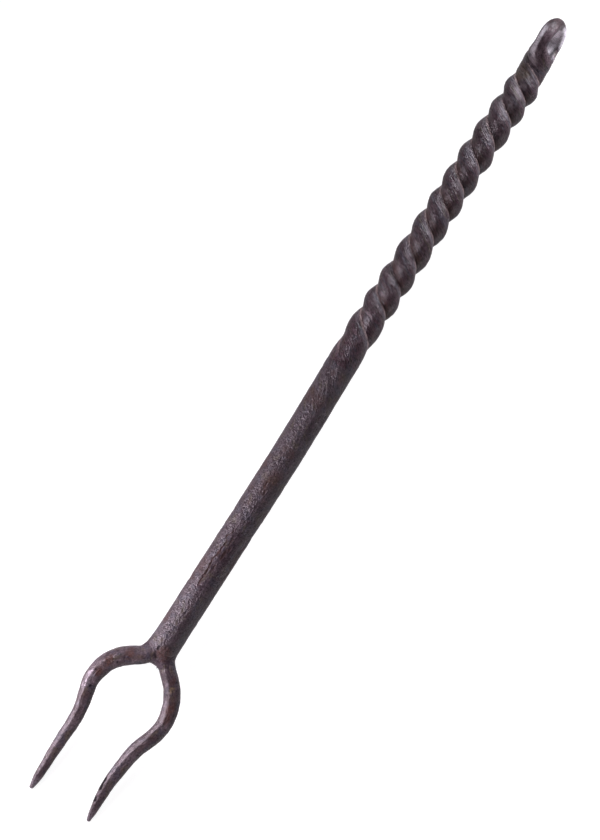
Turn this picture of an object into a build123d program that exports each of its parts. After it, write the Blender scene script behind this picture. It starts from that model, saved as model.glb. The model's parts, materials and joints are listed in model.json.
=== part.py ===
"""A hand-forged iron fork: round shaft, rope-twisted handle with a hanging eye, two drawn tines.

The fork lies on a flat surface. +Y runs along the shaft from the tines to the eye, +X is to the
right and +Z is up. The origin is at the middle of the overall box, on the surface. The eye and
the two tine tips touch the surface, and the shaft lies level above it.
"""

import os
from math import cos, radians, sin

from build123d import *

# Driving dimensions, in millimetres and degrees
overall_length = 361.0
shaft_diameter = 12.0

# The tine end of the shaft, and the two tines
shaft_end_y = -110.0
shaft_end_rounding = 3.0
left_tip_y = -180.4
right_tip_y = -179.4
tip_thickness = 1.1
tine_dip_power = 1.4  # the tines leave the shaft level, then dip to the surface
tine_corner_share = 0.32  # corner radius of a tine's squarish section, as a share of its width
crotch_weld_centre = (1.9, -111.6)
crotch_weld_radius = 3.3
crotch_weld_thickness = 6.8
crotch_weld_rounding = 1.6
root_weld_thickness = 7.6
root_weld_rounding = 1.6

# The twisted handle
twist_lead = 21.7  # one whole turn of a strand
lobe_radius = 5.1  # each strand is one lobe of the twisted section
lobe_offset = 1.58  # from the shaft's axis to the middle of a lobe
groove_rounding = 1.2  # rounds a lobe down into the groove
twist_start_y = 21.6  # where the round shaft ends and the two strands begin
full_twist_start_y = 34.0
full_twist_end_y = 153.0
twist_end_y = 159.5
strand_top_y = 45.8  # strand_a is uppermost here, and again at each whole turn
drawn_lobe_radius = 4.5  # the strands are drawn thinner where they run into the eye
drawn_lobe_offset = 0.8

# The hanging eye
eye_outer_radius = 9.7
eye_bore_radius = 5.8
eye_width = 5.6
eye_edge_rounding = 0.9
eye_tilt = 17.5  # lean of the eye from upright, towards -X at its top
shoulder_y = 163.8  # the neck is widest here, where it runs into the ring
shoulder_width = 14.6
shoulder_thickness = 6.4

# Worked out from the driving dimensions
shaft_radius = shaft_diameter / 2
eye_centre_y = overall_length / 2 - eye_outer_radius
neck_radius = drawn_lobe_radius + drawn_lobe_offset
ring_depth = (eye_outer_radius - eye_edge_rounding) * cos(radians(eye_tilt))
ring_lean = (eye_width / 2 - eye_edge_rounding) * sin(radians(eye_tilt))
axis_height = ring_depth + ring_lean + eye_edge_rounding  # the eye just touches the surface
tip_height = tip_thickness / 2


def direction_around(angle):
    """The unit direction across the shaft at an angle from +X towards +Z."""
    return Vector(cos(radians(angle)), 0, sin(radians(angle)))


def cross_plane(y, angle=0.0):
    """The plane across the shaft at y, with its x direction turned by angle."""
    return Plane(origin=(0, y, axis_height), x_dir=direction_around(angle), z_dir=(0, 1, 0))


def between(start, end, share):
    """The value that lies at a share of the way from start to end."""
    return start + (end - start) * share


# Shaft: a plain round bar, its tine end rounded over by the hammer
with BuildPart() as shaft:
    with BuildSketch(cross_plane(shaft_end_y)):
        Circle(shaft_radius)
    extrude(amount=twist_start_y - shaft_end_y)
    fillet(shaft.edges().sort_by(Axis.Y)[0], shaft_end_rounding)


# Strands: two congruent half sections that wind round each other, left-handed
def strand_angle(y, side):
    """Where a strand lies around the axis at y; side is 0 for one strand and 180 for the other."""
    return 90 + side + 360 * (y - strand_top_y) / twist_lead


def strand_section(y, side, radius, offset_from_axis, rounding):
    """A round lobe whose flat face lies against the other strand."""
    with BuildSketch(cross_plane(y, strand_angle(y, side))) as section:
        with Locations((offset_from_axis, 0)):
            Circle(radius)
        with Locations((2 * shaft_radius, 0)):
            Rectangle(4 * shaft_radius, 4 * shaft_radius, mode=Mode.INTERSECT)
        flat_corners = section.vertices().sort_by_distance((0, y, axis_height))[:2]
        fillet(flat_corners, rounding)
    return section.sketch


def faired_sections(start_y, end_y, side, steps, start_shape, end_shape):
    """Sections from one shape (radius, offset, rounding) to another, for a loft."""
    sections = []
    for step in range(steps + 1):
        share = step / steps
        shape = [between(a, b, share) for a, b in zip(start_shape, end_shape)]
        sections.append(strand_section(between(start_y, end_y, share), side, *shape))
    return sections


def make_strand(side):
    """One strand: faired out of the round shaft, wound at a steady lead, then drawn down."""
    round_shape = (shaft_radius, 0.02, 0.15)
    full_shape = (lobe_radius, lobe_offset, groove_rounding)
    drawn_shape = (drawn_lobe_radius, drawn_lobe_offset, groove_rounding)
    with BuildPart() as strand:
        loft(faired_sections(twist_start_y, full_twist_start_y, side, 6, round_shape, full_shape))
        loft(faired_sections(full_twist_end_y, twist_end_y, side, 4, full_shape, drawn_shape))
        with BuildLine() as spine:
            Line((0, full_twist_start_y, axis_height), (0, full_twist_end_y, axis_height))
        guide = Helix(
            twist_lead,
            full_twist_end_y - full_twist_start_y,
            2 * shaft_radius,
            center=(0, full_twist_start_y, axis_height),
            direction=(0, 1, 0),
            lefthand=True,
            mode=Mode.PRIVATE,
        )
        sweep(
            strand_section(full_twist_start_y, side, *full_shape),
            path=spine.wires()[0],
            binormal=guide,
        )
    return strand


strand_a = make_strand(0)
strand_b = make_strand(180)


# Hanging eye: the bend that joins the strands, a ring of squarish section on a flared neck
eye_plane = Plane(
    origin=(0, eye_centre_y, axis_height), x_dir=(0, 1, 0), z_dir=direction_around(eye_tilt)
)
with BuildPart() as hanging_eye:
    with BuildSketch(eye_plane):
        Circle(eye_outer_radius)
        Circle(eye_bore_radius, mode=Mode.SUBTRACT)
    extrude(amount=eye_width / 2, both=True)
    fillet(hanging_eye.edges().filter_by(GeomType.CIRCLE), eye_edge_rounding)
    with BuildSketch(cross_plane(twist_end_y, eye_tilt)):
        Circle(neck_radius)
    with BuildSketch(cross_plane(shoulder_y, eye_tilt)):
        RectangleRounded(shoulder_thickness, shoulder_width, shoulder_thickness * 0.42)
    loft()
    with BuildSketch(eye_plane):
        Circle(eye_bore_radius)
    extrude(amount=eye_width, both=True, mode=Mode.SUBTRACT)


# Tines: drawn to a taper and bent, lyre-shaped, out of the end of the shaft
def tine_height(y, tip_y):
    """How high a tine's centre line lies at y: level at the shaft, down to the surface."""
    share = max(0.0, (shaft_end_y - y) / (shaft_end_y - tip_y))
    return between(axis_height, tip_height, share**tine_dip_power)


def make_tine(centre_line, widths):
    """A squarish bar through the centre line's points, with a width at each share of its length."""
    tip_y = centre_line[-1][1]
    with BuildPart() as tine:
        with BuildLine() as path:
            Spline([(x, y, tine_height(y, tip_y)) for x, y in centre_line])
        bend = path.wires()[0]
        for share, width in widths:
            heading = bend % share
            plane = Plane(origin=bend @ share, x_dir=heading.cross(Vector(0, 0, 1)), z_dir=heading)
            with BuildSketch(plane):
                RectangleRounded(width, width, width * tine_corner_share)
        loft()
    return tine


left_line = [
    (-0.5, -108.6),
    (-8.5, -116.0),
    (-14.6, -123.1),
    (-16.6, -131.5),
    (-14.4, -143.0),
    (-13.8, -161.5),
    (-13.6, left_tip_y),
]
left_widths = [
    (0.0, 7.2),
    (0.14, 6.9),
    (0.26, 7.0),
    (0.37, 6.4),
    (0.52, 5.3),
    (0.76, 4.1),
    (0.88, 3.4),
    (1.0, tip_thickness),
]
right_line = [
    (0.6, -107.6),
    (7.2, -114.2),
    (14.0, -122.4),
    (16.6, -130.8),
    (12.9, -146.2),
    (10.9, -164.0),
    (12.0, right_tip_y),
]
right_widths = [
    (0.0, 6.4),
    (0.14, 6.2),
    (0.26, 6.5),
    (0.37, 6.2),
    (0.52, 5.8),
    (0.76, 4.3),
    (0.88, 3.1),
    (1.0, tip_thickness),
]
left_tine = make_tine(left_line, left_widths)
right_tine = make_tine(right_line, right_widths)
with left_tine:
    add(shaft.part, mode=Mode.SUBTRACT)
with right_tine:
    add([shaft.part, left_tine.part], mode=Mode.SUBTRACT)

# Crotch weld: the metal that fills the fork between the two tine roots
with BuildPart() as crotch_weld:
    with BuildSketch(Plane.XY.offset(axis_height)):
        with Locations(crotch_weld_centre):
            Circle(crotch_weld_radius)
    extrude(amount=crotch_weld_thickness / 2, both=True)
    fillet(crotch_weld.edges().filter_by(GeomType.CIRCLE), crotch_weld_rounding)
    add([shaft.part, left_tine.part, right_tine.part], mode=Mode.SUBTRACT)

# Root weld: the flared web that carries the left tine into the side of the shaft
with BuildPart() as root_weld:
    with BuildSketch(Plane.XY.offset(axis_height)):
        with BuildLine():
            Polyline((-4.0, -102.5), (-10.2, -113.0), (-3.0, -113.0), close=True)
        make_face()
    extrude(amount=root_weld_thickness / 2, both=True)
    fillet(root_weld.edges().group_by(Axis.Z)[0], root_weld_rounding)
    fillet(root_weld.edges().group_by(Axis.Z)[-1], root_weld_rounding)
    add([shaft.part, left_tine.part, right_tine.part, crotch_weld.part], mode=Mode.SUBTRACT)

pieces = {
    "shaft": shaft,
    "strand_a": strand_a,
    "strand_b": strand_b,
    "hanging_eye": hanging_eye,
    "left_tine": left_tine,
    "right_tine": right_tine,
    "crotch_weld": crotch_weld,
    "root_weld": root_weld,
}
os.makedirs("parts", exist_ok=True)
for name, piece in pieces.items():
    piece.part.label = name
    export_step(piece.part, f"parts/{name}.step")
    box = piece.part.bounding_box()
    print(name, len(piece.part.solids()), round(piece.part.volume, 1), box.min, box.max)
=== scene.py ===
"""The looks of the hand-forged fork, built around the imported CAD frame.

Lengths are in millimetres inside this script and become metres where a mesh, light or camera is
made. +Y runs along the shaft from the tines to the eye, +X is to the right and +Z is up.
"""

import json
from math import atan2, cos, pi, radians, sin

import bpy
import numpy as np
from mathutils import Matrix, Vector


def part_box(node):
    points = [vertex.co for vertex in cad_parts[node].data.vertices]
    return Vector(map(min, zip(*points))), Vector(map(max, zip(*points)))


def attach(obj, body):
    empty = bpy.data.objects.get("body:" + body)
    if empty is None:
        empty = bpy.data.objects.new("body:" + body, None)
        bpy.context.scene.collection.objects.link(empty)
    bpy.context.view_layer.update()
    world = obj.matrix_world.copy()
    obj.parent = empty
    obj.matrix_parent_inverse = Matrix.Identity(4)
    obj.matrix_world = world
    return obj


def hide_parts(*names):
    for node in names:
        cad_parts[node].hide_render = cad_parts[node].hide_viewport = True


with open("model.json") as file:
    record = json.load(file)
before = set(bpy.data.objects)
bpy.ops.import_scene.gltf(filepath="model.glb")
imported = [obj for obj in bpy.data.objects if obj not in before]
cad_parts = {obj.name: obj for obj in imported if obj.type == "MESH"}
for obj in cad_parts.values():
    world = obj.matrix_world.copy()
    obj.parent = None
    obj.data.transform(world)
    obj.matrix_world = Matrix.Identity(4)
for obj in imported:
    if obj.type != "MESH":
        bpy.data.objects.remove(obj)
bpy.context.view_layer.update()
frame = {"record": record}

MM = 0.001


# ---------------------------------------------------------------- sizes read from the frame
def box_mm(node):
    """The lowest and highest corner of a CAD node, in millimetres."""
    low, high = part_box(node)
    return np.array(low) / MM, np.array(high) / MM


shaft_low, shaft_high = box_mm("shaft")
strand_low, strand_high = box_mm("strand_a")
handle_end_y = box_mm("hanging_eye")[1][1]
left_low_y = box_mm("left_tine")[0][1]
right_low_y = box_mm("right_tine")[0][1]
eye_mount = next(m for m in frame["record"]["mounts"] if m["name"] == "eye_bore")

shaft_radius = (shaft_high[0] - shaft_low[0]) / 2
axis_height = (shaft_high[2] + shaft_low[2]) / 2
shaft_end_y = shaft_low[1]
twist_start_y = shaft_high[1]
twist_end_y = strand_high[1]
eye_bore = eye_mount["dims"]["r_mm"]
eye_centre_y = eye_mount["pos_m"][1] / MM
eye_outer = handle_end_y - eye_centre_y
eye_tilt = atan2(eye_mount["axis"][2], eye_mount["axis"][0])

# ---------------------------------------------------------------- shapes that the hammer left
bar_radius = shaft_radius + 0.14  # the scale stands a little proud of the bar
lobe_reach = (strand_high[0] - strand_low[0]) / 2
lobe_radius = 5.1
lobe_offset = lobe_reach - lobe_radius
drawn_radius = 5.35  # near the eye the pair of strands is drawn down to almost a round
drawn_offset = 0.15
drawn_between = (150.5, 157.0)

# How many half turns the twist has made, as (place along Y, half turns). The smith's turns are
# uneven, and below the first of them the twist runs out into the round shaft.
turn_marks = [
    (-45.0, -2.2),
    (-20.0, -2.1),
    (0.0, -1.9),
    (26.0, -1.3),
    (32.5, -1.0),
    (45.8, 0.0),
    (56.5, 1.0),
    (67.1, 2.0),
    (79.9, 3.0),
    (91.3, 4.0),
    (101.7, 5.0),
    (113.0, 6.0),
    (123.5, 7.0),
    (134.8, 8.0),
    (144.7, 9.0),
    (154.2, 10.0),
    (162.2, 11.0),
    (164.0, 11.097),
    (200.0, 11.097),
]
twist_fade = (12.0, 50.0)  # the lobes grow out of the round bar between these two places

# How far the handle's middle line strays from the shaft's axis, as (place along Y, offset in X)
wander_marks = [
    (-200.0, 0.35),
    (-70.0, 0.38),
    (-20.0, 0.35),
    (3.0, -0.1),
    (28.0, -0.85),
    (45.0, -0.85),
    (66.0, -0.5),
    (100.0, -0.6),
    (118.0, -0.6),
    (134.0, -0.1),
    (150.0, 0.45),
    (157.0, 0.25),
    (164.0, -0.5),
    (173.0, -0.65),
    (181.0, -1.4),
    (200.0, -1.4),
]

# Each tine's middle line seen from above, and its width at each share of its length
left_route = [
    (-0.5, -107.5),
    (-4.6, -113.3),
    (-8.4, -116.2),
    (-12.0, -119.4),
    (-15.2, -124.3),
    (-16.6, -131.6),
    (-15.5, -137.6),
    (-14.2, -143.5),
    (-13.55, -150.0),
    (-13.7, -163.0),
    (-13.5, left_low_y - 0.5),
]
left_widths = [(0.0, 7.3), (0.1, 7.4), (0.2, 7.6), (0.3, 7.2), (0.4, 6.2), (0.5, 5.6), (0.62, 5.1)]
left_widths += [(0.75, 4.7), (0.85, 4.0), (0.93, 3.4), (0.97, 2.5), (1.0, 1.1)]
right_route = [
    (1.0, -106.5),
    (6.1, -113.0),
    (9.4, -116.2),
    (12.6, -119.9),
    (15.3, -125.0),
    (16.65, -131.5),
    (15.7, -138.0),
    (13.05, -145.9),
    (11.7, -154.5),
    (11.0, -163.5),
    (11.5, -173.0),
    (12.1, right_low_y - 0.3),
]
right_widths = [(0.0, 6.4), (0.1, 6.5), (0.2, 6.7), (0.3, 6.6), (0.4, 6.2), (0.5, 6.2), (0.62, 5.6)]
right_widths += [(0.75, 5.2), (0.85, 4.4), (0.93, 3.2), (0.97, 2.4), (1.0, 1.0)]
tine_tip_height = 1.2  # the tip lies on the table, so its middle is at half of this


# ---------------------------------------------------------------- small number helpers
def smooth(low, high, value):
    """0 below low, 1 above high, and an S-curve between."""
    share = np.clip((value - low) / (high - low), 0.0, 1.0)
    return share * share * (3 - 2 * share)


def mix(first, second, share):
    return first + (second - first) * share


def unit(vectors):
    return vectors / np.maximum(np.linalg.norm(vectors, axis=-1, keepdims=True), 1e-9)


def distance_along(line):
    """How far along the line each of its points is."""
    return np.concatenate([[0], np.cumsum(np.linalg.norm(np.diff(line, axis=0), axis=1))])


def lattice(x, y, z, seed):
    """A repeatable value from -1 to 1 at each whole-numbered point."""
    mask = 0x7FFFFFFF
    n = (x * 374761393 + y * 668265263 + z * 1274126177 + seed * 974634777) & mask
    n = ((n ^ (n >> 13)) * 1103515245 + 12345) & mask
    n = ((n ^ (n >> 15)) * 69069 + 1) & mask
    return (n & 0xFFFFF) / 0x7FFFF - 1.0


def noise(points, size, seed):
    """Smooth noise from -1 to 1, with lumps about size across, at points (..., 3)."""
    place = np.asarray(points) / size
    cell = np.floor(place).astype(np.int64)
    part = place - cell
    part = part * part * part * (part * (part * 6 - 15) + 10)
    total = 0.0
    for corner in range(8):
        step = np.array([corner & 1, corner >> 1 & 1, corner >> 2 & 1])
        weight = np.prod(np.where(step == 1, part, 1 - part), axis=-1)
        at = cell + step
        total = total + weight * lattice(at[..., 0], at[..., 1], at[..., 2], seed)
    return total


def dab(points, centre, reach):
    """1 at centre, falling away to 0 at reach millimetres along each axis."""
    away = (points - np.array(centre)) / np.array(reach)
    return np.clip(1 - (away**2).sum(-1), 0, 1)


def along_marks(marks, blur):
    """A smooth function through (place, value) marks, rounded off over blur millimetres."""
    step = 0.25
    grid = np.arange(marks[0][0] - 5 * blur, marks[-1][0] + 5 * blur, step)
    raw = np.interp(grid, [m[0] for m in marks], [m[1] for m in marks])
    reach = int(3 * blur / step)
    kernel = np.exp(-0.5 * (np.arange(-reach, reach + 1) * step / blur) ** 2)
    kernel /= kernel.sum()
    padded = np.pad(raw, reach, mode="edge")
    values = np.convolve(padded, kernel, mode="valid")
    return lambda place: np.interp(place, grid, values)


half_turns = along_marks(turn_marks, 1.6)
wander = along_marks(wander_marks, 5.0)


def strand_angle(y):
    """Where strand_a lies around the axis at y, from +X towards +Z."""
    return pi / 2 + pi * half_turns(y)


# ---------------------------------------------------------------- mesh helpers
def volume_of(points, faces):
    """Six times the signed volume, to tell which way the faces look."""
    total = 0.0
    for face in (faces[:, [0, 1, 2]], faces[:, [0, 2, 3]]):
        a, b, c = (points[face[:, k]] for k in range(3))
        total += np.einsum("ij,ij->i", a, np.cross(b, c)).sum()
    return total


def make_piece(name, points, quads, node, material, marks):
    """A mesh piece that stands for a CAD node. marks are named per-point values for its material."""
    if volume_of(points, quads) < 0:
        quads = quads[:, ::-1]
    mesh = bpy.data.meshes.new(name)
    mesh.from_pydata((points * MM).tolist(), [], quads.tolist())
    for label, values in marks.items():
        kind = "FLOAT_VECTOR" if values.ndim == 2 else "FLOAT"
        attribute = mesh.attributes.new(label, kind, "POINT")
        field = "vector" if values.ndim == 2 else "value"
        attribute.data.foreach_set(field, values.astype(np.float32).ravel())
    mesh.validate()
    mesh.shade_smooth()
    mesh.set_sharp_from_angle(angle=radians(60))
    piece = bpy.data.objects.new(name, mesh)
    bpy.context.scene.collection.objects.link(piece)
    mesh.materials.append(material)
    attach(piece, "root")
    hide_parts(node)


def tube_faces(count, around):
    """Quads of a tube of count rings, and quads that close its two ends."""
    i, j = np.meshgrid(np.arange(count - 1), np.arange(around), indexing="ij")
    k = (j + 1) % around
    sides = np.stack([i * around + j, i * around + k, (i + 1) * around + k, (i + 1) * around + j], -1)
    caps = []
    half = around // 2
    for start, turn in ((0, 1), ((count - 1) * around, -1)):
        for step in range(half - 1):
            quad = [step, around - 1 - step, around - 2 - step, step + 1]
            caps.append([start + corner for corner in quad][::turn])
    return np.concatenate([sides.reshape(-1, 4), np.array(caps)])


def make_tube(name, rings, node, material, marks):
    """A piece made of rings of points. Each mark holds a value or a vector for each point."""
    listed = {label: values.reshape(-1, *values.shape[2:]) for label, values in marks.items()}
    faces = tube_faces(*rings.shape[:2])
    make_piece(name, rings.reshape(-1, 3), faces, node, material, listed)


# ---------------------------------------------------------------- the bar's surface
def relief(points, seed):
    """The hammer's soft dents and the grain of the scale, in millimetres out of the surface."""
    dents = 0.07 * noise(points, 8.0, seed) + 0.05 * noise(points, 3.6, seed + 1)
    grain = 0.04 * noise(points, 1.6, seed + 2) + 0.05 * noise(points, 0.9, seed + 3)
    pits = np.maximum(0.0, noise(points, 1.3, seed + 4) - 0.45)
    return dents + grain - 0.12 * pits


def displaced(rings, centres, amount):
    """Rings moved out from their centres by amount."""
    return rings + unit(rings - centres[:, None, :]) * amount[..., None]


# ---------------------------------------------------------------- shaft and strands
shaft_top = axis_height + shaft_radius
shaft_end_rounding = 3.0
flake_depth = 0.14  # how thick the scale was where it has flaked off


def lobe_outline(angle, y):
    """The twisted bar's outline at an angle from the nearer lobe's middle, up to a quarter turn."""
    grown = smooth(*twist_fade, y)
    drawn = smooth(*drawn_between, y)
    offset = mix(lobe_offset * grown, drawn_offset, drawn)
    radius = mix(mix(bar_radius, lobe_radius, grown), drawn_radius, drawn)
    return offset * np.cos(angle) + np.sqrt(radius**2 - (offset * np.sin(angle)) ** 2)


def round_the_axis(y, angle, radius):
    """Points at an angle and distance around the handle's own middle line."""
    x = wander(y) + radius * np.cos(angle)
    z = axis_height + radius * np.sin(angle)
    return np.stack(np.broadcast_arrays(x, y, z), -1)


def untwisted(points, y):
    """Where the points lay on the bar before it was twisted, so that streaks follow the twist."""
    turn = -strand_angle(y)
    x, z = points[..., 0] - wander(y), points[..., 2] - axis_height
    across = x * np.cos(turn) - z * np.sin(turn)
    upward = x * np.sin(turn) + z * np.cos(turn)
    return np.stack([across, points[..., 1], upward], -1)


def shaft_rings():
    """The shaft's rings and their centres, before the surface is hammered."""
    around, step = 144, 0.36
    count = len(np.arange(shaft_end_y, twist_start_y + step / 2, step))
    y = np.linspace(shaft_end_y, twist_start_y, count)[:, None]
    angle = np.linspace(0, 2 * pi, around, endpoint=False)[None, :]
    from_lobe = (angle - strand_angle(y) + pi / 2) % pi - pi / 2
    inset = np.clip((shaft_end_rounding - (y - shaft_end_y)) / shaft_end_rounding, 0.0, 1.0)
    radius = lobe_outline(from_lobe, y) - shaft_end_rounding * (1 - np.sqrt(1 - inset**2))
    return round_the_axis(y, angle, radius), round_the_axis(y[:, 0], 0.0, 0.0)


def make_shaft(material):
    rings, centres = shaft_rings()
    grain_at = untwisted(rings, centres[:, 1:2])
    flake, flake_edge = flaked_off(rings)
    pits = shaft_pitting(rings)
    rings = displaced(rings, centres, 0.75 * relief(rings, 10) - flake_depth * flake - pits)
    stain, nick = crotch_marks(rings)
    marks = {
        "grain_at": grain_at,
        "flake": flake,
        "rust_and_shade": np.clip(shaft_rust(rings) + 5 * pits + 0.8 * flake_edge + stain, 0, 1),
        "black": np.maximum(0.4 * smooth(0.05, 0.16, pits), nick),
    }
    make_tube("shaft_bar", rings, "shaft", material, marks)


def flaked_off(points):
    """Where a sheet of scale has come away and left smooth dark iron, and the dark edge it left."""
    x, y, z = points[..., 0], points[..., 1], points[..., 2] - axis_height
    ragged = 0.7 * noise(points, 2.6, 31) + 0.3 * noise(points, 1.0, 32)
    middle_x, half_width = 2.0, 3.6
    along = smooth(-83, -77, y) * smooth(-50, -57, y) * (z > 0)
    reach = np.abs(x - middle_x) + ragged
    edge = along * smooth(0.55, 0.1, np.abs(reach - half_width)) * (x < middle_x)
    loose = smooth(0.62, 0.7, noise(points * np.array([1, 0.5, 1]), 5.0, 34) + 0.25 * ragged)
    return np.clip(along * smooth(3.9, 3.4, reach) + loose, 0, 1), edge


shaft_pits = [  # long pits under the lost scale, as (x, y, half width, half length, depth)
    (0.3, -58.3, 0.5, 2.4, 0.15),
    (0.6, -64.2, 0.7, 3.0, 0.18),
    (0.2, -70.5, 0.5, 2.0, 0.14),
    (1.6, -61.5, 0.5, 1.6, 0.12),
    (-0.3, -32.5, 0.6, 2.0, 0.14),
    (1.0, -35.6, 0.5, 1.6, 0.12),
]


def shaft_pitting(points):
    """How deep the shaft is pitted, in millimetres."""
    total = 0.0
    for x, y, half_width, half_length, depth in shaft_pits:
        reach = (half_width, half_length, 2.5)
        total = total + depth * np.sqrt(dab(points, (x, y, shaft_top), reach))
    return total


def crotch_marks(points):
    """The brown stain above the crotch, and the dark nick on its left side."""
    stain = dab(points, (1.9, -109.3, shaft_top), (3.8, 4.2, 6.0)) * (1 + 0.5 * noise(points, 1.6, 48))
    nick = dab(points, (-1.3, -108.0, shaft_top), (0.7, 1.2, 2.5)) * (1 + 0.5 * noise(points, 0.8, 49))
    return np.clip(1.1 * stain, 0, 0.8), np.clip(1.6 * nick, 0, 0.9)


def shaft_rust(points):
    """1 where the shaft is rusty brown."""
    band = smooth(-42, -35, points[..., 1]) * smooth(-22, -30, points[..., 1])
    front = smooth(4.5, 1.0, np.abs(points[..., 0] - 1.2))
    patches = smooth(0.35, 0.7, noise(points, 6.0, 41) + 0.4 * noise(points, 2.0, 42))
    return np.clip(0.8 * band * front * smooth(-0.4, 0.2, noise(points, 4.0, 43)) + 0.5 * patches, 0, 1)


# A strand's ring goes round its outer face and then back over its flat face. The mirrored ring has
# the same points in the opposite order.
outer_count, flat_count = 61, 13
outer_angles = pi / 2 * np.sin(np.linspace(-pi / 2, pi / 2, outer_count))
flat_shares = np.linspace(1, -1, flat_count + 2)[1:-1]
mirrored = np.concatenate([np.arange(outer_count)[::-1], outer_count + np.arange(flat_count)[::-1]])


def strand_rings(y, side):
    """Rings of one strand: its outer face, then its flat face against the other strand."""
    y = np.asarray(y)[:, None]
    turn = strand_angle(y) + side * pi
    outer = round_the_axis(y, turn + outer_angles, lobe_outline(outer_angles, y))
    edge = lobe_outline(np.array([[pi / 2]]), y)
    flat = round_the_axis(y, turn + pi / 2, edge * flat_shares)
    return np.concatenate([outer, flat], axis=1)


def strand_centres(y, side):
    """A point inside each ring of a strand, which its surface is moved out from."""
    return round_the_axis(y, strand_angle(y) + side * pi, 1.2)


def on_outer_face(values):
    """Values for the points of a strand's outer face, with 0 for those of its flat face."""
    return np.concatenate([values, np.zeros(flat_count)])


def toward_edge(start, end):
    """A share that grows over a strand's outer face from one angle to another, in degrees."""
    return on_outer_face(smooth(radians(start), radians(end), outer_angles))


def strand_relief(rings):
    """Relief that dies away at the flat face and the groove, so that the strands still meet."""
    fade = on_outer_face(smooth(0, radians(14), pi / 2 - np.abs(outer_angles)))
    return relief(rings, 50) * fade * 1.15


def strand_marks(rings, y):
    """A pale line along the groove that is partly a painted highlight, a band beside it that is partly
    scuffed iron and partly a painted highlight, rusty brown on the far side, an ochre stain.
    """
    begun = smooth(twist_start_y + 1, twist_start_y + 14, y)[:, None]
    # Painted highlight: a pale line along the groove's edge on the flank that faces the eye, partly a pale
    # rusty line in the crease.
    seam_and_highlight = toward_edge(-70, -85) * smooth(-0.9, 0.2, noise(rings, 4.0, 46)) * begun
    sheltered = toward_edge(30, 75) * smooth(-0.5, 0.3, noise(rings, 5.0, 44)) * begun
    # Painted highlight: a paler, more metallic band on the flank that faces the eye, beside the groove,
    # partly scuffed iron.
    rubbed_flank_highlight = toward_edge(-40, -68) * smooth(-0.8, 0.1, noise(rings, 3.0, 45)) * begun
    stain = dab(rings, (-3.2, 155.4, axis_height + 4), (4.0, 4.2, 7.0))
    stain = stain * (1 + 0.5 * noise(rings, 1.5, 47))
    return {
        "seam_and_highlight": 0.95 * seam_and_highlight,
        "rust_and_shade": 0.75 * sheltered,
        "wear_and_sheen": 0.5 * rubbed_flank_highlight,
        "ochre": 0.55 * np.clip(1.5 * stain, 0, 1),
    }


def make_strand(name, node, side, material):
    step = 0.34
    y = np.linspace(twist_start_y, twist_end_y, int((twist_end_y - twist_start_y) / step))
    rings = strand_rings(y, side)
    grain_at = untwisted(rings, y[:, None])
    rings = displaced(rings, strand_centres(y, side), strand_relief(rings))
    marks = {"grain_at": grain_at, **strand_marks(rings, y)}
    make_tube(name, rings, node, material, marks)


# ---------------------------------------------------------------- hammered bars: eye and tines
def hammered_outline(angles, sizes, sharpness):
    """A bar's outline with eight flats. sizes holds each flat's distance from the middle."""
    total = 0.0
    for flat in range(8):
        facing = np.maximum(np.cos(angles - flat * pi / 4), 0.0)
        total = total + (facing / sizes[..., flat : flat + 1]) ** sharpness
    return total ** (-1 / sharpness)


def flat_sizes(place, half_a, half_b, corner, uneven, seed):
    """Each flat's distance from the middle along a bar, with the hammer's unevenness."""
    sizes = []
    for flat in range(8):
        facing = flat * pi / 4
        if flat % 2:
            size = corner * np.hypot(half_a, half_b)
        else:
            size = half_a if flat % 4 == 0 else half_b
        row = np.stack([place, np.full_like(place, 7.3 * flat), np.zeros_like(place)], -1)
        broad = uneven * noise(row, 7.0, seed)
        fine = 0.5 * uneven * noise(row, 3.1, seed + 1)
        sizes.append(size * (1 + broad + fine))
    return np.stack(sizes, -1)


def eye_centre_line(count):
    """Half of the eye's middle line, from a strand's end to the top: distance from the axis, and Y."""
    middle = (eye_outer + eye_bore) / 2
    rise = 0.3  # the loop's top is drawn up a little
    meet = radians(-32)
    leg = np.linspace(0, 1, count // 2)[:, None]
    start, start_way = np.array([2.3, twist_end_y]), np.array([0.0, 7.0])
    end = np.array([middle * cos(meet), eye_centre_y + middle * sin(meet)])
    end_way = 8.5 * np.array([-sin(meet), cos(meet)])
    cubic = (2 * leg**3 - 3 * leg**2 + 1) * start + (leg**3 - 2 * leg**2 + leg) * start_way
    cubic = cubic + (3 * leg**2 - 2 * leg**3) * end + (leg**3 - leg**2) * end_way
    turn = np.linspace(meet, pi / 2, count - count // 2 + 1)[1:]
    lifted = middle * np.sin(turn) + rise * smooth(0, 1, np.sin(turn))
    arc = np.stack([middle * np.cos(turn), eye_centre_y + lifted], -1)
    return np.concatenate([cubic, arc])


def strand_end_section(first_reach):
    """A strand's last section in the eye's plane: out from the eye's middle line, and across it."""
    end = strand_rings(np.array([twist_end_y]), 0)[0]
    turn = -strand_angle(twist_end_y)
    x, z = end[:, 0] - wander(twist_end_y), end[:, 2] - axis_height
    outward = x * np.cos(turn) - z * np.sin(turn) - first_reach
    across = x * np.sin(turn) + z * np.cos(turn)
    return outward, across


def eye_outline(side, angles, walked):
    """How far the eye's squarish bar reaches from its middle line at each angle."""
    topmost = smooth(0.72, 1.0, walked / walked[-1])
    half_a = np.full(len(walked), (eye_outer - eye_bore) / 2)
    half_b = mix(2.8 if side else 3.3, 2.35, topmost)
    sizes = flat_sizes(walked + 40 * side, half_a, half_b, 0.8, 0.04, 60)
    sizes[:, 1] *= mix(0.76 if side else 0.9, 0.88, topmost)
    sizes[:, 7] *= mix(1.0, 0.88, topmost)
    turned = side * eye_tilt * (1 - topmost)[:, None]  # the near leg's top face was hammered level
    return hammered_outline(angles[None, :] + turned, sizes, 12.0)


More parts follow.
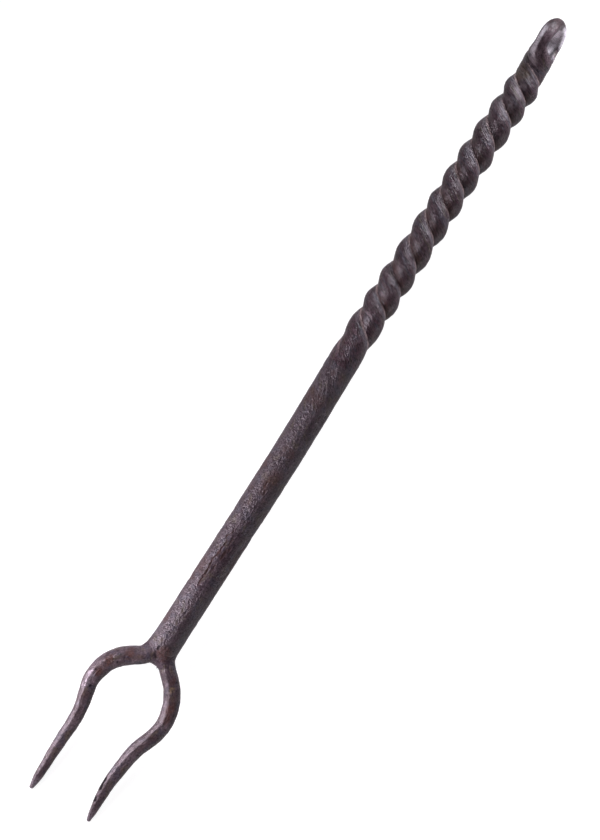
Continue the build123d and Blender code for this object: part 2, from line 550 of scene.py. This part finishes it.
def half_eye(side):
    """Half the eye, which starts as a strand's section and turns into a squarish bar.

    Side 1 is the near leg, on top, and side 0 the far leg. What comes back is the centre of each
    ring, then for each point its place, its place in the grain, and how bright and how black it is.
    """
    line = eye_centre_line(120)
    way = unit(np.gradient(line, axis=0))
    out = np.stack([way[:, 1], -way[:, 0]], -1)
    walked = distance_along(line)
    start_a, start_b = strand_end_section(line[0, 0])
    angles = np.arctan2(start_b, start_a)
    radius = eye_outline(side, angles, walked)
    become = smooth(3.0, 11.5, walked)[:, None]
    a = mix(start_a[None, :], radius * np.cos(angles), become)
    b = mix(start_b[None, :], radius * np.sin(angles), become)

    reach = line[:, :1] + a * out[:, :1]
    y = line[:, 1:] + a * out[:, 1:]
    turn = strand_angle(line[:, 1:]) + side * pi
    x = wander(line[:, 1:]) + reach * np.cos(turn) - b * np.sin(turn)
    z = axis_height + reach * np.sin(turn) + b * np.cos(turn)
    centres = round_the_axis(line[:, 1], turn[:, 0], line[:, 0])

    grain_at = np.stack([a, np.broadcast_to(walked[:, None], a.shape), b], -1)
    parted = (1 - smooth(0.88, 1.0, walked / walked[-1]))[:, None]
    high = y - eye_centre_y
    bright = eye_brushing_and_painted_light(side, angles, high, parted) * smooth(0.1, 0.6, become)
    nick = (1 - side) * eye_dark_line(angles, high)
    return centres, np.stack([x, y, z], -1), grain_at, bright, nick


def eye_dark_line(angles, high):
    """How black the dark line is that runs along the far leg, beside its pale inner face."""
    across = smooth(0.975, 0.995, np.cos(angles - radians(137)))
    return 0.85 * across * smooth(-5.5, -4.0, high) * (1 - smooth(-1.5, 2.5, high))


def eye_brushing_and_painted_light(side, angles, high, parted):
    """1 where half the eye is made pale, partly scuffed metal and partly painted light: inside the loop,
    which lies in shade and is painted lighter towards its top, and along one edge of the leg, where a
    highlight is painted.

    high is the distance past the bore's centre. parted is 1 on the legs and 0 at the loop's top,
    where the edges of the two halves meet.
    """
    # Painted light: the loop's inside, which lies in shade, is made near white, more so towards its top.
    inside = smooth(0.6, 0.8, -np.cos(angles)) * mix(0.15, 1.0, smooth(-7, 1, high))
    # Painted highlight along one edge of the leg.
    if side:
        edge = 0.55 * smooth(0.84, 0.95, np.cos(angles - radians(35)))
    else:
        upper = smooth(-2, 4, high)
        middle = mix(radians(70), radians(115), upper)
        none_past, full_within = mix(0.84, 0.5, upper), mix(0.95, 0.75, upper)
        edge = mix(0.1, 0.95, upper) * smooth(none_past, full_within, np.cos(angles - middle))
    return np.maximum(inside, edge * parted)


def make_eye(material):
    """The eye: up the near leg, over the top, and down the far leg with its rings mirrored."""
    near_centres, *near = half_eye(1)
    far_centres, *far = half_eye(0)
    centres = np.concatenate([near_centres, far_centres[::-1][1:]])
    rings, grain_at, bright, nick = (
        np.concatenate([rising, falling[::-1][1:, mirrored]]) for rising, falling in zip(near, far)
    )
    rings = displaced(rings, centres, 0.7 * relief(rings, 50))
    facing_end = unit(rings - centres[:, None, :])[..., 1]
    # Painted shade: faces on the loop's top that look towards the eye end are darkened, browned and made
    # less glossy, to hold down their highlight.
    end_facing_shade = smooth(0.05, 0.4, facing_end) * smooth(2, 7, rings[..., 1] - eye_centre_y)
    marks = {
        "grain_at": grain_at,
        # Scuffed metal with painted light, held back under the painted shade.
        "brushed_and_painted_light": bright * (1 - end_facing_shade),
        # Painted shade on those faces, carried by the rusty brown and the black marks.
        "rust_and_shade": 0.5 * end_facing_shade,
        "black": np.maximum(0.5 * end_facing_shade, nick),
    }
    make_tube("hanging_eye_loop", rings, "hanging_eye", material, marks)


def through(points, step):
    """A Catmull-Rom line through the points, with a sample about every step millimetres."""
    points = np.array(points, float)
    ends = [2 * points[0] - points[1], *points, 2 * points[-1] - points[-2]]
    line = []
    for a, b, c, d in zip(ends, ends[1:], ends[2:], ends[3:]):
        count = max(2, int(np.linalg.norm(c - b) / step))
        t = np.linspace(0, 1, count, endpoint=False)[:, None]
        bend = (2 * a - 5 * b + 4 * c - d) * t**2
        swing = (3 * b - a - 3 * c + d) * t**3
        line.append(0.5 * (2 * b + (c - a) * t + bend + swing))
    return np.concatenate([*line, points[-1:]])


def tine_line(route, low_y, step=0.35):
    """The tine's middle line: level at the shaft, then dipping to the surface at the tip."""
    flat = through(route, step)
    share = np.clip((shaft_end_y - flat[:, 1]) / (shaft_end_y - low_y), 0, 1)
    height = mix(axis_height, tine_tip_height / 2, share**1.4)
    return np.column_stack([flat, height])


tine_spots = {  # marks on each tine's upper side, as (x, y, z, reach)
    "left_tine": {
        "black": [
            (-9.9, -118.2, 12.2, 0.9),
            (-11.7, -121.3, 12.0, 1.0),
            (-17.2, -128.2, 11.2, 0.9),
            (-15.4, -134.8, 10.6, 1.1),
        ],
        # Scratches on the outer bend, partly painted glints.
        "bright": [(-17.8, -130.8, 12.0, 3.0), (-17.6, -135.0, 11.0, 2.6)],
        "brown": [(-9.5, -115.5, 13.0, 3.2), (-14.6, -122.5, 12.5, 3.0), (-15.4, -128.4, 12.5, 2.6)],
        "ochre": [],
    },
    "right_tine": {
        "black": [
            (8.9, -162.7, 4.6, 2.0),
            (9.1, -165.6, 4.2, 2.0),
            (9.7, -170.8, 3.2, 1.9),
            (16.7, -131.4, 10.0, 1.3),
        ],
        # A painted glint, and a painted highlight on the inner bevel.
        "bright": [(9.4, -118.0, 11.5, 1.5), (12.7, -125.0, 10.5, 1.8)],
        "brown": [(10.5, -116.0, 13.0, 2.4), (15.5, -125.5, 12.0, 3.4), (16.8, -130.0, 11.0, 2.6)],
        "ochre": [(12.1, -119.2, 12.8, 2.0)],
    },
}


def spots_on(points, places):
    """Up to 1 on the marks at places, with ragged edges."""
    total = np.zeros(points.shape[:-1])
    ragged = 1 + 0.35 * noise(points, 1.2, 95)
    for x, y, z, reach in places:
        total = np.maximum(total, dab(points, (x, y, z), (reach * 0.65, reach, reach * 1.3)) * ragged)
    return smooth(0.0, 0.8, total)


def rod_field(points, start, end, start_radius, end_radius):
    """Distance to a tapered rod between two points; negative inside."""
    start, end = np.array(start, float), np.array(end, float)
    way = end - start
    share = np.clip((points - start) @ way / (way @ way), 0, 1)
    nearest = start + share[..., None] * way
    return np.linalg.norm(points - nearest, axis=-1) - mix(start_radius, end_radius, share)


fold_line = [(-1.7, -107.2), (-1.5, -109.0), (-1.0, -110.6), (0.3, -111.7)]


def fold_depth(points):
    """How deep the crease between the left root and the crotch weld is, on the upper side."""
    level = points * np.array([1, 1, 0])
    away = [rod_field(level, (*a, 0), (*b, 0), 0.0, 0.0) for a, b in zip(fold_line, fold_line[1:])]
    nearest = np.minimum.reduce(away)
    deepest, half_width = 0.22, 0.45
    upper = smooth(axis_height, axis_height + 1.5, points[..., 2])
    return deepest * np.exp(-((nearest / half_width) ** 2)) * upper


def tine_outline(angles, walked, width, seed):
    """How far the tine's squarish bar reaches from its middle line at each angle."""
    sizes = flat_sizes(walked, width / 2, width / 2 * 0.97, 0.775, 0.035, seed)
    sizes[:, 1] *= 0.95  # the edge on the left of the top is hammered flatter than the others
    rolled = radians(7)
    return hammered_outline(angles - rolled, sizes, 14.0)


def tip_rounding(walked):
    """1 along the tine, and down to almost nought in a quarter circle at its tip."""
    rounding, least = 0.6, 0.002
    left = walked[-1] - walked
    return np.sqrt(np.clip(1 - (1 - np.clip(left / rounding, 0, 1)) ** 2, least, 1))[:, None]


def top_streak(rings, angles, share, seed):
    """How rusty the ragged streak along the tine's upper side is."""
    stretch = (smooth(0.04, 0.1, share) * smooth(0.62, 0.5, share))[:, None]
    streak = smooth(0.8, 0.97, np.sin(angles)) * stretch
    return streak * smooth(-0.35, 0.25, noise(rings, 4.0, seed + 7))


def make_tine(name, node, route, widths, low_y, seed, material):
    line = tine_line(route, low_y)
    way = unit(np.gradient(line, axis=0))
    side = unit(np.cross(way, np.array([0.0, 0.0, 1.0])))
    up = unit(np.cross(side, way))
    walked = distance_along(line)
    share = walked / walked[-1]
    width = along_marks([(s * walked[-1], w) for s, w in widths], 1.5)(walked)
    around = 72
    angles = np.linspace(0, 2 * pi, around, endpoint=False)[None, :]
    radius = tine_outline(angles, walked, width, seed)
    point = tip_rounding(walked)
    a, b = radius * np.cos(angles) * point, radius * np.sin(angles) * point
    rings = line[:, None, :] + a[..., None] * side[:, None, :] + b[..., None] * up[:, None, :]
    grain_at = np.stack([a, np.broadcast_to(walked[:, None], a.shape), b], -1)

    spots = {kind: spots_on(rings, places) for kind, places in tine_spots[node].items()}
    black = smooth(0.25, 0.9, spots["black"] * (1 + 0.5 * noise(rings, 0.8, seed + 3)))
    scratches = spots["bright"] * noise(rings * np.array([0.5, 1, 1]), 0.8, seed + 9)
    surface = relief(rings, seed + 5) - (0.04 * black - 0.2 * scratches)
    shallower = np.minimum(1, width / 5)[:, None]  # the thin end was hammered more lightly
    rings = displaced(rings, line, surface * shallower * point)
    fold = fold_depth(rings)
    rings = displaced(rings, line, -fold)
    marks = {
        "grain_at": grain_at,
        # Real wear at the tip, and the bright marks: scratches and painted glints.
        "wear_and_sheen": np.clip(0.4 * smooth(0.9, 0.98, share)[:, None] + 0.45 * spots["bright"], 0, 1),
        # Painted shade: the crease at the crotch is darkened in step with its depth.
        "black": np.maximum(0.9 * black, 2.0 * fold),
        "ochre": spots["ochre"],
        "rust_and_shade": np.clip(0.4 * top_streak(rings, angles, share, seed) + 0.65 * spots["brown"], 0, 1),
    }
    make_tube(name, rings, node, material, marks)


# ---------------------------------------------------------------- weld metal round the tine roots
def crossed_edges(values, axis):
    """The grid's edges along one axis that cross nought.

    Gives each edge's grid place, where the crossing is, and whether the field falls along the edge.
    """
    near = np.take(values, range(values.shape[axis] - 1), axis)
    far = np.take(values, range(1, values.shape[axis]), axis)
    at = np.argwhere((near < 0) != (far < 0))
    first, second = near[tuple(at.T)], far[tuple(at.T)]
    crossing = at.astype(float)
    crossing[:, axis] += first / (first - second)
    return at, crossing, (first > 0)[:, None]


def cells_round(at, axis):
    """The four grid cells round each edge, in order."""
    b, c = (axis + 1) % 3, (axis + 2) % 3
    cells = []
    for back_b, back_c in ((0, 0), (1, 0), (1, 1), (0, 1)):
        cell = at.copy()
        cell[:, b] -= back_b
        cell[:, c] -= back_c
        cells.append(cell)
    return cells


def surface_net(values, low, pitch):
    """Points and quads of the surface where a field on a grid passes through nought."""
    cell_counts = tuple(n - 1 for n in values.shape)
    sums, counts = np.zeros(cell_counts + (3,)), np.zeros(cell_counts)
    found = []
    for axis in range(3):
        at, crossing, falling = crossed_edges(values, axis)
        cells = cells_round(at, axis)
        for cell in cells:
            np.add.at(sums, tuple(cell.T), crossing)
            np.add.at(counts, tuple(cell.T), 1)
        found.append((cells, falling))
    used = counts > 0
    number = np.full(counts.shape, -1)
    number[used] = np.arange(used.sum())
    points = low + pitch * sums[used] / counts[used][:, None]
    quads = []
    for cells, falling in found:
        quad = np.stack([number[tuple(cell.T)] for cell in cells], -1)
        quads.append(np.where(falling, quad, quad[:, ::-1]))
    return points, np.concatenate(quads)


def melted(first, second, spread):
    """Two fields joined with a fillet of about spread millimetres."""
    blend = np.clip(0.5 + 0.5 * (second - first) / spread, 0, 1)
    return mix(second, first, blend) - spread * blend * (1 - blend)


def root_field(points, route, widths, low_y):
    """The field of a tine's root, a chain of rods along its first stretch."""
    line = tine_line(route, low_y, step=2.0)[:9]
    radius = widths[0][1] / 2
    rods = [rod_field(points, start, end, radius, radius) for start, end in zip(line, line[1:])]
    return np.minimum.reduce(rods)


def weld_field(points):
    """The shaft's end, the tine roots, the web, the bridge and the burr, melted into one shape."""
    h = axis_height
    shaft_x = wander(shaft_end_y)
    shaft_reach = shaft_radius + 0.05
    sunk = 0.1  # the welds lie this far under the tines' own surface, and rise where they melt
    shaft = rod_field(points, (shaft_x, -80, h), (shaft_x, shaft_end_y + 4.0, h), shaft_reach, shaft_reach)
    left = root_field(points, left_route, left_widths, left_low_y) + sunk
    right = root_field(points, right_route, right_widths, right_low_y) + sunk
    web = rod_field(points, (-3.6, -103.5, h), (-4.6, -110.3, h), 1.8, 2.0)
    bridge = rod_field(points, (-1.5, -111.4, h), (4.2, -112.3, h), 2.9, 2.7)
    burr = rod_field(points, (2.9, -113.0, h + 1.2), (2.4, -115.4, h + 1.6), 0.75, 0.1)
    body = melted(melted(shaft, left, 0.9), right, 2.2)
    body = melted(melted(body, web, 1.2), bridge, 1.4)
    body = melted(body, burr, 0.6)
    body = body + 0.10 * noise(points, 2.2, 81) + 0.05 * noise(points, 1.1, 82)
    return body + fold_depth(points)


def make_welds(material):
    """The crotch weld and the left root's flared web, one melted shape parted by a plane."""
    pitch = 0.22
    overlap = 0.3  # the two welds reach this far into each other
    low = np.array([-13.0, -121.0, axis_height - 6.5])
    size = np.array([25.0, 22.0, 13.0])
    margin = 1.0  # the shape is closed off this far inside the grid's box
    counts = (size / pitch).astype(int)
    grid = np.stack(np.meshgrid(*[np.arange(n) * pitch for n in counts], indexing="ij"), -1) + low
    past_box = np.abs(grid - (low + size / 2)) - (size / 2 - margin)
    body = np.maximum(weld_field(grid), past_box.max(-1))
    # Above nought on the crotch's side of a plane that runs past the shaft's end on its left
    parting = (grid[..., 0] + 3.0) + 0.5 * (grid[..., 1] + 110.0)
    for name, node, part in (
        ("crotch_weld_metal", "crotch_weld", -parting),
        ("root_weld_metal", "root_weld", parting),
    ):
        points, quads = surface_net(np.maximum(body, part - overlap), low, pitch)
        stain, nick = crotch_marks(points)
        # Painted shade: the crease between the left root and the crotch weld is darkened in step with its
        # depth.
        black = np.maximum(2.0 * fold_depth(points), nick)
        marks = {"grain_at": points.copy(), "rust_and_shade": stain, "black": black}
        make_piece(name, points, quads, node, material, marks)


# ---------------------------------------------------------------- materials
class Nodes:
    """Short ways to build a material's node tree."""

    def __init__(self, name):
        self.material = bpy.data.materials.new(name)
        self.material.use_nodes = True
        self.tree = self.material.node_tree
        self.shader = next(n for n in self.tree.nodes if n.type == "BSDF_PRINCIPLED")

    def put(self, socket, value):
        if isinstance(value, bpy.types.NodeSocket):
            self.tree.links.new(value, socket)
        else:
            socket.default_value = value

    def attribute(self, name, output="Fac"):
        node = self.tree.nodes.new("ShaderNodeAttribute")
        node.attribute_name = name
        return node.outputs[output]

    def noise(self, vector, size, detail=3.0, rough=0.55):
        """Noise with lumps about size millimetres across, on a vector in millimetres."""
        node = self.tree.nodes.new("ShaderNodeTexNoise")
        self.put(node.inputs["Vector"], vector)
        node.inputs["Scale"].default_value = 1 / size
        node.inputs["Detail"].default_value = detail
        node.inputs["Roughness"].default_value = rough
        return node.outputs["Fac"]

    def cells(self, vector, size):
        node = self.tree.nodes.new("ShaderNodeTexVoronoi")
        self.put(node.inputs["Vector"], vector)
        node.inputs["Scale"].default_value = 1 / size
        return node.outputs["Distance"]

    def scaled(self, vector, scale):
        node = self.tree.nodes.new("ShaderNodeVectorMath")
        node.operation = "MULTIPLY"
        self.put(node.inputs[0], vector)
        node.inputs[1].default_value = scale
        return node.outputs[0]

    def math(self, operation, first, second):
        node = self.tree.nodes.new("ShaderNodeMath")
        node.operation = operation
        self.put(node.inputs[0], first)
        self.put(node.inputs[1], second)
        return node.outputs[0]

    def times(self, first, second):
        return self.math("MULTIPLY", first, second)

    def mark(self, label, texture, *limits):
        """One of the mesh's marks, broken up by a texture that is brought to limits."""
        return self.times(self.attribute(label), self.ramp(texture, *limits))

    def ramp(self, value, low, high, out_low=0.0, out_high=1.0):
        """A value brought from low..high to out_low..out_high, held inside that."""
        node = self.tree.nodes.new("ShaderNodeMapRange")
        node.interpolation_type = "SMOOTHSTEP"
        self.put(node.inputs["Value"], value)
        limits = {"From Min": low, "From Max": high, "To Min": out_low, "To Max": out_high}
        for label, number in limits.items():
            node.inputs[label].default_value = number
        return node.outputs["Result"]

    def colour(self, share, first, second):
        node = self.tree.nodes.new("ShaderNodeMix")
        node.data_type = "RGBA"
        self.put(node.inputs["Factor"], share)
        self.put(node.inputs["A"], first)
        self.put(node.inputs["B"], second)
        return node.outputs["Result"]

    def brightened(self, colour, times):
        node = self.tree.nodes.new("ShaderNodeVectorMath")
        node.operation = "SCALE"
        self.put(node.inputs[0], colour)
        self.put(node.inputs["Scale"], times)
        return node.outputs[0]

    def bump(self, height, distance, normal=None):
        node = self.tree.nodes.new("ShaderNodeBump")
        node.inputs["Distance"].default_value = distance * MM
        node.inputs["Strength"].default_value = 1.0
        self.put(node.inputs["Height"], height)
        if normal is not None:
            self.put(node.inputs["Normal"], normal)
        return node.outputs["Normal"]


# Colours of what lies over the bare scale
brown_rust = (0.056, 0.028, 0.024, 1)
bare_iron = (0.26, 0.23, 0.26, 1)
# Near white: scuffed metal on the eye, made paler as painted light.
brushed_iron_and_painted_light = (0.92, 0.86, 0.92, 1)
cool_scale = (0.043, 0.037, 0.049, 1)
olive_scale = (0.058, 0.045, 0.036, 1)
ochre_stain = (0.12, 0.085, 0.05, 1)
# Pale line along the twist's groove, partly a painted highlight.
pale_seam_highlight = (0.4, 0.29, 0.285, 1)
# Near black: dark spots and pits, and painted shade in creases and on the eye's top.
soot_and_shade = (0.004, 0.003, 0.004, 1)


def scale_colour(n, at, streaks, dark, light):
    """Dark and light scale, with cooler and olive clouds over it."""
    clouds = n.noise(at, 5.0, 4.0)
    tone = n.math("ADD", n.times(streaks, 0.3), n.times(clouds, 0.7))
    base = n.colour(n.ramp(tone, 0.38, 0.62), dark, light)
    cool = n.ramp(n.noise(at, 3.4, 3.0), 0.5, 0.64, 0.0, 0.75)
    base = n.colour(cool, base, cool_scale)
    olive = n.ramp(n.noise(n.scaled(at, (1.0, 0.5, 1.0)), 2.7, 3.0), 0.54, 0.68, 0.0, 0.75)
    return n.colour(olive, base, olive_scale)


def iron(name, dark, light, grain, shine=0.5, contrast=0.6, rough=(0.24, 0.4)):
    """Waxed forge scale: streaks along the bar, granular scale, and the marks that the mesh carries.

    grain is the depth of the bumps in millimetres, and contrast how strong the dark specks are.
    """
    n = Nodes(name)
    at = n.attribute("grain_at", "Vector")
    streaks = n.noise(n.scaled(at, (1.0, 0.16, 1.0)), 0.9, 4.0)
    scale = n.noise(at, 0.75, 3.0, 0.65)
    specks = n.noise(n.scaled(at, (1.0, 0.6, 1.0)), 0.55, 2.0, 0.6)
    brush_lines = n.noise(n.scaled(at, (0.3, 1.0, 0.3)), 0.4, 2.0, 0.6)
    # Rusty brown, and painted shade on the eye's top faces that look towards its end.
    rust_and_shade = n.mark("rust_and_shade", scale, 0.35, 0.55, 0.45, 1.0)
    wear_and_sheen = n.mark("wear_and_sheen", scale, 0.35, 0.6, 0.2, 1.0)
    black = n.attribute("black")
    flake = n.attribute("flake")

    base = scale_colour(n, at, streaks, dark, light)
    base = n.colour(rust_and_shade, base, brown_rust)
    base = n.colour(n.mark("ochre", scale, 0.35, 0.6, 0.2, 0.9), base, ochre_stain)
    base = n.brightened(base, n.ramp(specks, 0.3, 0.7, 1 - contrast, 1 + contrast))
    # Bare iron: real wear at the tine tips and on scratches, painted highlight on the strands' flanks and
    # painted glints on the tines.
    base = n.colour(wear_and_sheen, base, bare_iron)
    # Near white where the eye carries scuffed metal and painted light: the loop's shaded inside lightened,
    # and a painted highlight along one edge of each leg.
    base = n.colour(n.mark("brushed_and_painted_light", brush_lines, 0.35, 0.6, 0.55, 1.0), base, brushed_iron_and_painted_light)
    # A pale line along the twist's groove, partly a painted highlight.
    base = n.colour(n.mark("seam_and_highlight", scale, 0.3, 0.6, 0.3, 1.0), base, pale_seam_highlight)
    # Near black for real dark spots and pits, the far leg's dark line, and painted shade in the crotch
    # crease and on the eye's top.
    n.put(n.shader.inputs["Base Color"], n.colour(black, base, soot_and_shade))
    n.put(n.shader.inputs["Metallic"], n.ramp(wear_and_sheen, 0.0, 1.0, 0.1, 0.75))

    roughness = n.math("ADD", n.ramp(scale, 0.3, 0.7, *rough), n.times(rust_and_shade, 0.15))
    n.put(n.shader.inputs["Roughness"], n.math("SUBTRACT", roughness, n.times(flake, 0.06)))
    under_rust = n.ramp(rust_and_shade, 0.0, 1.0, shine, 0.45 * shine)
    wax = n.times(under_rust, n.ramp(black, 0.0, 1.0, 1.0, 0.1))
    n.put(n.shader.inputs["Specular IOR Level"], wax)

    flecks = n.cells(n.scaled(at, (1.0, 0.6, 1.0)), 1.1)
    height = n.math("ADD", scale, n.times(flecks, 0.5))
    calm = n.ramp(flake, 0.0, 1.0, 1.0, 0.3)
    normal = n.bump(n.times(height, calm), grain)
    n.put(n.shader.inputs["Normal"], n.bump(streaks, grain * 0.8, normal))
    return n.material


def make_irons():
    """The iron of each material slot."""
    shaft = iron(
        "shaft_scale",
        dark=(0.034, 0.021, 0.027, 1),
        light=(0.056, 0.04, 0.048, 1),
        grain=0.36,
        contrast=0.4,
        rough=(0.25, 0.44),
    )
    handle = iron(
        "handle_scale",
        dark=(0.038, 0.02, 0.026, 1),
        light=(0.062, 0.037, 0.046, 1),
        grain=0.22,
    )
    eye = iron(
        "eye_scale",
        dark=(0.057, 0.035, 0.043, 1),
        light=(0.098, 0.068, 0.08, 1),
        grain=0.2,
        shine=0.4,
        contrast=0.4,
    )
    tine = iron(
        "tine_scale",
        dark=(0.045, 0.031, 0.035, 1),
        light=(0.078, 0.058, 0.066, 1),
        grain=0.2,
        shine=0.35,
        contrast=0.35,
    )
    weld = iron(
        "weld_scale",
        dark=(0.031, 0.019, 0.025, 1),
        light=(0.05, 0.035, 0.043, 1),
        grain=0.22,
        shine=0.27,
        contrast=0.4,
    )
    return shaft, handle, eye, tine, weld


# ---------------------------------------------------------------- stage, lights and camera
table_size = 6.0  # metres
table_drop = 0.0004  # metres, which keeps the hammered tips above the table
table_glow, table_glow_seen = 0.25, 0.9  # as light for the fork, and as the camera sees it
overhead, horizon = 0.08, 0.3  # how bright the room is straight up and at the horizon


def make_stage():
    """A plain white table. It looks white to the camera, and sends less light to the fork."""
    bpy.ops.mesh.primitive_plane_add(size=table_size, location=(0, 0, -table_drop))
    floor = bpy.context.object
    floor.name = "floor"
    n = Nodes("white_table")
    n.shader.inputs["Base Color"].default_value = (0.3, 0.3, 0.3, 1)
    n.shader.inputs["Roughness"].default_value = 0.9
    n.shader.inputs["Specular IOR Level"].default_value = 0.1
    n.shader.inputs["Emission Color"].default_value = (1, 1, 1, 1)
    seen = n.tree.nodes.new("ShaderNodeLightPath").outputs["Is Camera Ray"]
    n.put(n.shader.inputs["Emission Strength"], n.ramp(seen, 0.0, 1.0, table_glow, table_glow_seen))
    floor.data.materials.append(n.material)


def soft_light(name, place, size, power, colour, aim, spread=180.0):
    """A rectangular soft box at a place in metres that faces the point aim."""
    data = bpy.data.lights.new(name, "AREA")
    data.shape = "RECTANGLE"
    data.size, data.size_y = size
    data.energy = power
    data.color = colour
    data.spread = radians(spread)
    light = bpy.data.objects.new(name, data)
    light.location = place
    light.rotation_euler = (Vector(aim) - Vector(place)).to_track_quat("-Z", "Y").to_euler()
    bpy.context.scene.collection.objects.link(light)


def make_lights():
    """A soft box beside the tines, a large one past the eye, and two low strips past the tips."""
    soft_light(
        "side_softbox",
        place=(-0.2, -0.185, 0.12),
        size=(0.09, 0.26),
        power=0.69,
        colour=(1.0, 0.9, 1.0),
        aim=(0, -0.1, 0),
        spread=110.0,
    )
    soft_light(
        "low_strip",
        place=(0.42, -0.3, 0.06),
        size=(0.5, 0.1),
        power=0.5,
        colour=(1.0, 0.93, 0.97),
        aim=(0, 0, 0.01),
    )
    soft_light(
        "foot_strip",
        place=(-0.08, -0.55, 0.06),
        size=(0.6, 0.1),
        power=0.8,
        colour=(1.0, 0.93, 0.97),
        aim=(0, -0.02, 0.01),
    )
    soft_light(
        "end_softbox",
        place=(0.05, 0.5, 0.1),
        size=(0.46, 0.16),
        power=4.5,
        colour=(0.93, 0.93, 1.0),
        aim=(0, 0.08, 0),
    )


def make_room():
    """A dim pale room, brighter towards the horizon than overhead."""
    world = bpy.data.worlds.new("studio")
    bpy.context.scene.world = world
    world.use_nodes = True
    tree = world.node_tree
    background = tree.nodes["Background"]
    background.inputs["Color"].default_value = (0.95, 0.9, 0.95, 1)
    way = tree.nodes.new("ShaderNodeTexCoord")
    parts = tree.nodes.new("ShaderNodeSeparateXYZ")
    fade = tree.nodes.new("ShaderNodeMapRange")
    fade.inputs["From Max"].default_value = 0.45
    fade.inputs["To Min"].default_value = horizon
    fade.inputs["To Max"].default_value = overhead
    tree.links.new(way.outputs["Generated"], parts.inputs[0])
    tree.links.new(parts.outputs["Z"], fade.inputs["Value"])
    tree.links.new(fade.outputs["Result"], background.inputs["Strength"])


def make_camera():
    """Straight above the fork, rolled so that the shaft leans over to the right."""
    view_height = 325.2
    middle = (-2.66, -4.32)
    lean = 32.68
    lens, sensor = 600.0, 36.0
    data = bpy.data.cameras.new("camera")
    data.lens = lens
    data.sensor_width = sensor
    data.clip_start = 0.01
    data.clip_end = 20
    camera = bpy.data.objects.new("camera", data)
    above = lens / sensor * view_height + axis_height
    camera.location = (middle[0] * MM, middle[1] * MM, above * MM)
    camera.rotation_euler = (0, 0, radians(lean))
    bpy.context.scene.collection.objects.link(camera)
    bpy.context.scene.camera = camera


# ---------------------------------------------------------------- the whole fork
def main():
    shaft_iron, handle_iron, eye_iron, tine_iron, weld_iron = make_irons()
    make_shaft(shaft_iron)
    make_strand("twist_strand_a", "strand_a", 0, handle_iron)
    make_strand("twist_strand_b", "strand_b", 1, handle_iron)
    make_eye(eye_iron)
    make_tine("left_tine_bar", "left_tine", left_route, left_widths, left_low_y, 70, tine_iron)
    make_tine("right_tine_bar", "right_tine", right_route, right_widths, right_low_y, 90, tine_iron)
    make_welds(weld_iron)
    make_stage()
    make_lights()
    make_room()
    make_camera()
    bpy.context.scene.view_settings.view_transform = "Standard"


main()
